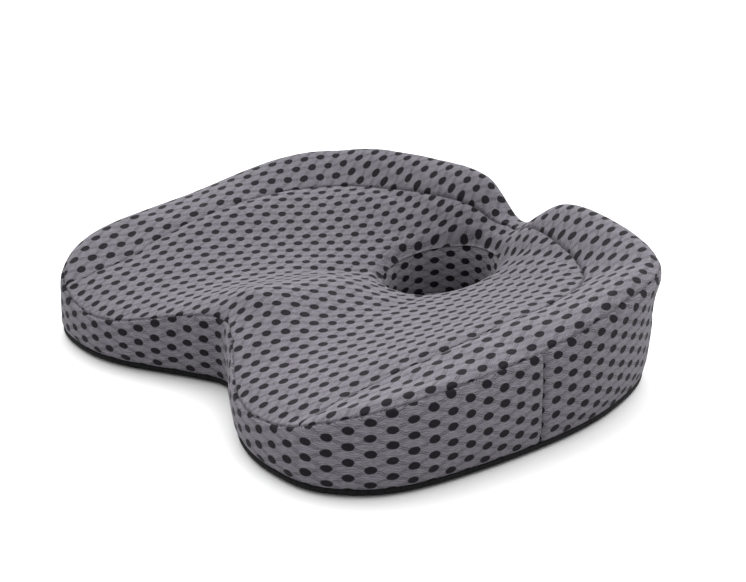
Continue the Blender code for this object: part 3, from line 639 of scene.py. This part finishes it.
seat_mesh = spacer_mesh("grey_spacer_mesh_seat", MESH_LIGHT, MESH_DARK, (0.0, 0.0))
face, cloth, shade = cover(RIM_REACH, SEAM_REACH, 122)
back, back_cloth, _ = cover(RIM_REACH + 1.5, SEAM_REACH - 0.8, 12)
sheet = wrapped(face, back - (0, 0, PANEL_THICKNESS))
cloth = laid(wrapped(cloth, back_cloth), SEAT_LAY)
seat = surface("seat_cover", sheet, cloth, shade=wrapped(shade, np.zeros(back.shape[:2])))
seat.data.materials.append(seat_mesh)
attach(seat, "cushion")
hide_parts("seat_panel")

# ---- Border panel -------------------------------------------------------------------------------------
# A crescent of the same mesh round the rear and sides, sewn to the seat along the inner seam and to the
# wall along the top edge. Its openings do not line up with those of the seat.

wide = (EDGE_REACH - SEAM_REACH) > 0.6
first = np.flatnonzero(wide & ~np.roll(wide, 1))[0]
picked = (first + np.arange(wide.sum())) % COLUMNS
border_mesh = spacer_mesh("grey_spacer_mesh_border", MESH_LIGHT, MESH_DARK, (0.0, 0.0))
face, cloth, shade = cover(SEAM_REACH, EDGE_REACH, 60)
back, back_cloth, _ = cover(SEAM_REACH + 0.3, EDGE_REACH - 0.5, 10)
sheet = wrapped(face, back - (0, 0, PANEL_THICKNESS))[:, picked]
cloth = laid(wrapped(cloth, back_cloth), BORDER_LAY)[:, picked]
shade = wrapped(shade, np.zeros(back.shape[:2]))[:, picked]
border = surface("border_cover", sheet, cloth, closed=False, shade=shade)
border.data.materials.append(border_mesh)
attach(border, "cushion")
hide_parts("border_panel")

# ---- Walls --------------------------------------------------------------------------------------------
# Two strips of the mesh, one round the front and one round the rear, that meet at an upright seam on each
# side. They bulge between the seam at the top edge and the one to the base.

WALL_BULGE = 0.8


def wall_cover(rows, depth=0.0):
    """The wall from the top seam down to the base seam: a straight line between them, its slack, a
    bulge of sin(pi t), the crown beside both seams and the grooves of every seam."""
    share = beside_seam(np.linspace(0, 1, rows))[:, None]
    z = EDGE_Z[:, 0] + (BASE_SEAM_Z - EDGE_Z[:, 0]) * share
    up = 1 - share
    from_top = (EDGE_Z[:, 0] - BASE_SEAM_Z) * share
    from_low = (EDGE_Z[:, 0] - BASE_SEAM_Z) * up
    from_side = np.min([np.abs(at - s) for s in side_seam_at], 0)
    out = WALL_BULGE * np.sin(np.pi * share) - groove(from_side, 2.6, 1.3) - depth
    out = out + 1.2 * (1 - (1 - np.clip(from_top / 9, 0, 1)) ** 2) * up - groove(from_top, 1.0)
    out = out + 1.2 * (1 - (1 - np.clip(from_low / 7, 0, 1)) ** 2) * share - groove(from_low, 0.6)
    plan = BASE + (EDGE - BASE) * up[..., None] + EDGE_OUT * out[..., None]
    z = z - groove(from_top, 1.0)
    points = np.dstack([plan, z])
    return points + slack(SLACK[SIM_TOP - 1 :], share * SIM_WALL + 0 * z)


wall_mesh = spacer_mesh("grey_spacer_mesh_wall", MESH_LIGHT, MESH_DARK, (3.0, 1.0))
outer = wall_cover(60)
back = wall_cover(10, PANEL_THICKNESS)
sheet = wrapped(outer, back)
cloth = np.dstack([np.broadcast_to(at, sheet.shape[:2]), sheet[..., 2]])
from_side = np.min([np.abs(at - s) for s in side_seam_at], 0)
from_top = (EDGE_Z[:, 0] - BASE_SEAM_Z) * beside_seam(np.linspace(0, 1, 60))[:, None]
# Painted shade along the grooves of the side seams and the top seam.
shade = np.maximum(PAINTED_SEAM_SHADE * groove(from_side, 1.0), PAINTED_EDGE_SHADE * groove(from_top, 1.0))
shade = wrapped(shade, np.zeros(back.shape[:2]))
split = [int(round(s / EDGE_LENGTH * COLUMNS)) for s in side_seam_at]
front = np.arange(split[1] - COLUMNS, split[0] + 1)
rear = np.arange(split[0], split[1] + 1)
for name, cad, picked in (("front_wall", "wall_front", front), ("rear_wall", "wall_rear", rear)):
    u = cloth[:, picked % COLUMNS].copy()
    u[..., 0] = picked * EDGE_LENGTH / COLUMNS
    if cad == "wall_rear":
        u += (7.5, 1.0)
    piece = surface(name, sheet[:, picked % COLUMNS], u, closed=False, shade=shade[:, picked % COLUMNS])
    piece.data.materials.append(wall_mesh)
    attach(piece, "cushion")
    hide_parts(cad)

# ---- Hole lining --------------------------------------------------------------------------------------
# A tube of the same mesh hangs in the pressure-relief hole from a seam round its rim, with a flat mesh
# floor sewn across the bottom. Air can pass through it to the underside.

POCKET_LOW = 2.7
HOLE_COLUMNS = 288

turn = np.linspace(0, 2 * np.pi, HOLE_COLUMNS, endpoint=False)
direction = np.stack([np.cos(turn), np.sin(turn)], 1)
loop = direction * half_hole
lining_out = outward(loop)
rim_z = (RIM_HEIGHT + RIM_TILT * np.sin(turn)) * CREST
share = beside_seam(np.linspace(0, 1, 40))[:, None]
deep = rim_z - 4.0 + (POCKET_LOW + 3 - rim_z + 4.0) * share
from_top = (rim_z - 4.0 - POCKET_LOW - 3) * share
pleat = np.sin(turn * 9 + 0.8) * np.sin(turn * 4 + 2.0) * 0.9 * np.sin(np.pi * share)
out = 2.0 * np.exp(-from_top / 4) - 1.5 * np.sin(np.pi * share) + pleat
tube = np.dstack([HOLE + loop + lining_out * (out - 0.4)[..., None], deep])
behind = tube.copy()
behind[..., :2] += lining_out * 2.0
sheet = wrapped(tube, behind)[:, ::-1]
around = turn * np.hypot(*half_hole) / np.sqrt(2)
cloth = np.dstack([np.broadcast_to(around[::-1], sheet.shape[:2]), sheet[..., 2]])
# Painted light: the lining and its floor are the same cloth as the cover, but coloured lighter than MESH_LIGHT to
# brighten the walls of the hole.
painted_light_lining_mesh = spacer_mesh("grey_spacer_mesh_lining_painted_light", "#7b787e", "#161418", (1.0, 4.0))
lap = -2 * np.pi * np.hypot(*half_hole) / np.sqrt(2)
lining = surface("hole_lining", sheet, cloth, lap)
share = np.linspace(1, 0.01, 30)[:, None, None]
plan = HOLE + (loop + lining_out * 1.5) * share
sag = 0.8 * (1 - share[..., 0] ** 2)
upper = np.dstack([plan, POCKET_LOW + 2.4 - sag * np.ones(HOLE_COLUMNS)])
lower = np.dstack([plan, POCKET_LOW + 0.2 * np.ones(plan.shape[:2])])
sheet = np.concatenate([upper[::-1], lower])
floor_piece = surface("hole_floor_mesh", sheet, sheet[..., :2], tube=False)
for piece, cad in ((lining, "hole_wall"), (floor_piece, "hole_floor")):
    piece.data.materials.append(painted_light_lining_mesh)
    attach(piece, "cushion")
    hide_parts(cad)

# ---- Base panels --------------------------------------------------------------------------------------
# Two panels of black non-slip fabric, a tight weave printed with small rubber dots. They curl up to the
# wall seam round the edge and meet along the zip, with a slit between them over its teeth.

BASE_THICKNESS = 1.2
CURL = ((0.0, 6.0), (-0.5, 4.9), (-0.5, 3.4), (0.4, 1.8), (2.6, 0.6), (6.0, 0.0), (10.0, 0.0))
SLIT_HALF = 5.5

base_finish, tree, shader = material("black_non_slip_fabric", "#121213", 0.8, Specular_IOR_Level=0.15)
place = in_mm(tree)
split_xyz = tree.nodes.new("ShaderNodeSeparateXYZ")
tree.links.new(place, split_xyz.inputs[0])
x, y, _ = split_xyz.outputs
dot_x = calc(tree, "PINGPONG", x, 2.5)
dot_y = calc(tree, "PINGPONG", y, 2.5)
reach = calc(tree, "SQRT", calc(tree, "ADD", calc(tree, "MULTIPLY", dot_x, dot_x), calc(tree, "MULTIPLY", dot_y, dot_y)))
rubber = ramp(tree, reach, 0.9, 1.2, 1.0, 0.0)
weave = calc(tree, "MULTIPLY", calc(tree, "SINE", calc(tree, "MULTIPLY", x, 7.0)), calc(tree, "SINE", calc(tree, "MULTIPLY", y, 7.0)))
weave = ramp(tree, weave, -1.0, 1.0)
tone = blended(tree, weave, srgb("#0d0d0e"), srgb("#18181a"))
tree.links.new(blended(tree, rubber, tone, srgb("#0a0a0b")), shader.inputs["Base Color"])
raised(tree, shader, calc(tree, "ADD", rubber, calc(tree, "MULTIPLY", weave, 0.3)), 0.4)

inset, drop = curve(np.array(CURL), False, 4).T
for sign, cad, name in ((-1, "base_front", "front_base"), (1, "base_rear", "rear_base")):
    line = ZIP_Y + sign * 0.15
    side = sign * (BASE[:, 1] - line) > 0
    first = np.flatnonzero(side & ~np.roll(side, 1))[0]
    picked = (first - 1 + np.arange(side.sum() + 2)) % COLUMNS
    edge_plan = BASE[picked]
    for end, near in ((0, 1), (-1, -2)):
        part = (line - edge_plan[near, 1]) / (edge_plan[end, 1] - edge_plan[near, 1])
        edge_plan[end] = edge_plan[near] + (edge_plan[end] - edge_plan[near]) * part
    curl = edge_plan[None] - EDGE_OUT[picked][None] * inset[:, None, None]
    curl = np.dstack([curl, np.broadcast_to(drop[:, None], curl.shape[:2])])
    curl[:, [0, -1], 1] = line
    reach = curl[-1, :, :2]
    ends = reach[[0, -1], 0]
    part = np.abs(np.cumsum(np.hypot(*np.diff(reach, axis=0, prepend=reach[:1]).T)))
    goal_x = ends[0] + (ends[1] - ends[0]) * part / part[-1]
    inside = np.clip((ZIP_HALF + 1.5 - np.abs(goal_x)) / 1.0, 0, 1)
    goal = np.stack([goal_x, line + sign * (SLIT_HALF - 0.15) * inside], 1)
    share = 1 - np.linspace(1, 0, 90)[1:, None, None] ** 2
    flat_part = reach[None] + (goal - reach)[None] * share
    flat_part = np.dstack([flat_part, channel(flat_part, 5.0, 6.0, 16.0)])
    lower = np.concatenate([curl, flat_part])
    upper = lower.copy()
    upper[..., 2] += BASE_THICKNESS
    upper[: len(inset), :, :2] -= EDGE_OUT[picked] * (BASE_THICKNESS * np.clip(drop / 3, 0, 1))[:, None, None]
    upper[: len(inset), :, 2] = lower[: len(inset), :, 2] + np.where(drop > 3.0, 0.0, BASE_THICKNESS)[:, None]
    piece = surface(name, wrapped(upper, lower)[:, ::-1], closed=False)
    piece.data.materials.append(base_finish)
    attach(piece, "cushion")
    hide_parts(cad)

# ---- Zip ----------------------------------------------------------------------------------------------
# A nylon coil zip: two woven tapes sewn to the base panels, a coil of thick monofilament along each, metal
# stops, and a slider whose pull tab hangs from an arch.

COIL_PITCH = 1.5
WIRE = 0.32

tape_finish, tree, shader = material("black_zip_tape", "#222224", 0.8)
place = in_mm(tree)
twill = node(tree, "ShaderNodeTexWave", {"Vector": place, "Scale": 0.5, "Distortion": 0.4}, bands_direction="DIAGONAL")
raised(tree, shader, twill, 0.15)
tree.links.new(blended(tree, twill, srgb("#1b1b1d"), srgb("#2c2c2f")), shader.inputs["Base Color"])

coil_finish, tree, shader = material("black_zip_nylon", "#1c1c1e", 0.35)
tone = blended(tree, noise(tree, in_mm(tree), 2.0), srgb("#17171a"), srgb("#242427"))
tree.links.new(tone, shader.inputs["Base Color"])

metal_finish, tree, shader = material("black_painted_zip_metal", "#2e2e31", 0.35, Metallic=0.9)
wear = noise(tree, in_mm(tree), 1.5, 4.0)
tree.links.new(ramp(tree, wear, 0.3, 0.7, 0.28, 0.5), shader.inputs["Roughness"])

for side, sign in (("front", -1), ("rear", 1)):
    turns = int(2 * (ZIP_HALF - 3.5) / COIL_PITCH)
    t = np.arange(turns * 12 + 1) / 12
    turn = 2 * np.pi * t
    centre = np.stack(
        [
            -ZIP_HALF + 3.5 + t * COIL_PITCH,
            ZIP_Y + sign * (1.9 + 0.95 * np.cos(turn)),
            5.25 + 0.6 * np.sin(turn),
        ],
        1,
    )
    across = np.stack([0 * t, sign * np.cos(turn), np.sin(turn)], 1)
    lift = np.array((1.0, 0.0, 0.0))
    round_wire = np.linspace(0, 2 * np.pi, 6, endpoint=False)
    wire = centre[:, None] + WIRE * (
        across[:, None] * np.cos(round_wire)[:, None] + lift * np.sin(round_wire)[:, None]
    )
    points = wire.reshape(-1, 3) * MM
    number = np.arange(len(points)).reshape(len(t), 6)
    nxt = np.roll(number, -1, 1)
    quads = np.stack([number[:-1], nxt[:-1], nxt[1:], number[1:]], -1).reshape(-1, 4)
    if sign > 0:
        quads = quads[:, ::-1]
    mesh = bpy.data.meshes.new(f"coil_{side}")
    caps = [number[0, ::sign].tolist(), number[-1, ::-sign].tolist()]
    mesh.from_pydata(points.tolist(), [], quads.tolist() + caps)
    mesh.polygons.foreach_set("use_smooth", np.ones(len(mesh.polygons), bool))
    coil = bpy.data.objects.new(f"coil_{side}", mesh)
    bpy.context.scene.collection.objects.link(coil)
    coil.data.materials.append(coil_finish)
    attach(coil, "cushion")
    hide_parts(f"zip_coil_{side}")
    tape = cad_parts[f"zip_tape_{side}"]
    tape.data.materials.clear()
    tape.data.materials.append(tape_finish)
# A tab of the base fabric closes the opening beyond each end of the tapes.
for side, sign in (("left", -1), ("right", 1)):
    x, y = np.meshgrid(sign * np.linspace(ZIP_HALF + 0.2, ZIP_HALF + 8, 8), np.linspace(-10, 10, 16))
    low = np.dstack([x, y + ZIP_Y, 6.35 + 0 * x])
    sheet = wrapped(low + (0, 0, 0.6), low)
    tab = surface(f"zip_end_tab_{side}", sheet[:, ::-sign], closed=False)
    tab.data.materials.append(base_finish)
    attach(tab, "cushion")
for name in ("zip_stop_left", "zip_stop_right", "zip_slider", "zip_pull"):
    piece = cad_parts[name]
    piece.data.materials.clear()
    piece.data.materials.append(metal_finish)
    edge = piece.modifiers.new("worn_edges", "BEVEL")
    edge.width = 0.2 * MM
    edge.segments = 2
    edge.limit_method = "ANGLE"

# ---- Stage --------------------------------------------------------------------------------------------
# A plain white floor, a soft light from above and a paler one all round.

FLOOR_HALF = 12.0
SUN_STRENGTH = 5.9
SUN_ANGLE = 110.0
SKY = 0.7
AZIMUTH = 51.23
ELEVATION = 22.0
DISTANCE = 1.2325
LENS = 73.13

floor_finish, tree, shader = material("white_floor", "#f2f2f2", 0.9)
mesh = bpy.data.meshes.new("floor")
corners = [(-FLOOR_HALF, -FLOOR_HALF, 0), (FLOOR_HALF, -FLOOR_HALF, 0), (FLOOR_HALF, FLOOR_HALF, 0), (-FLOOR_HALF, FLOOR_HALF, 0)]
mesh.from_pydata(corners, [], [(0, 1, 2, 3)])
floor = bpy.data.objects.new("floor", mesh)
floor.data.materials.append(floor_finish)
bpy.context.scene.collection.objects.link(floor)

sun = bpy.data.lights.new("soft_light", "SUN")
sun.energy = SUN_STRENGTH
sun.angle = np.radians(SUN_ANGLE)
lamp = bpy.data.objects.new("soft_light", sun)
lamp.rotation_euler = Vector((-0.5, 0.5, 0.7)).to_track_quat("Z", "Y").to_euler()
bpy.context.scene.collection.objects.link(lamp)
world = bpy.data.worlds.new("studio")
world.use_nodes = True
world.node_tree.nodes["Background"].inputs["Color"].default_value = (1.0, 1.0, 1.0, 1.0)
world.node_tree.nodes["Background"].inputs["Strength"].default_value = SKY
bpy.context.scene.world = world

azimuth, elevation = np.radians((AZIMUTH, ELEVATION))
facing = Vector((np.sin(azimuth) * np.cos(elevation), -np.cos(azimuth) * np.cos(elevation), np.sin(elevation)))
camera = bpy.data.cameras.new("camera")
camera.lens = LENS
camera.sensor_width = 36.0
viewer = bpy.data.objects.new("camera", camera)
viewer.location = Vector((0.88376, -0.69535, 0.50114))
viewer.rotation_euler = facing.to_track_quat("Z", "Y").to_euler()
bpy.context.scene.collection.objects.link(viewer)
bpy.context.scene.camera = viewer
bpy.context.scene.view_settings.view_transform = "Standard"
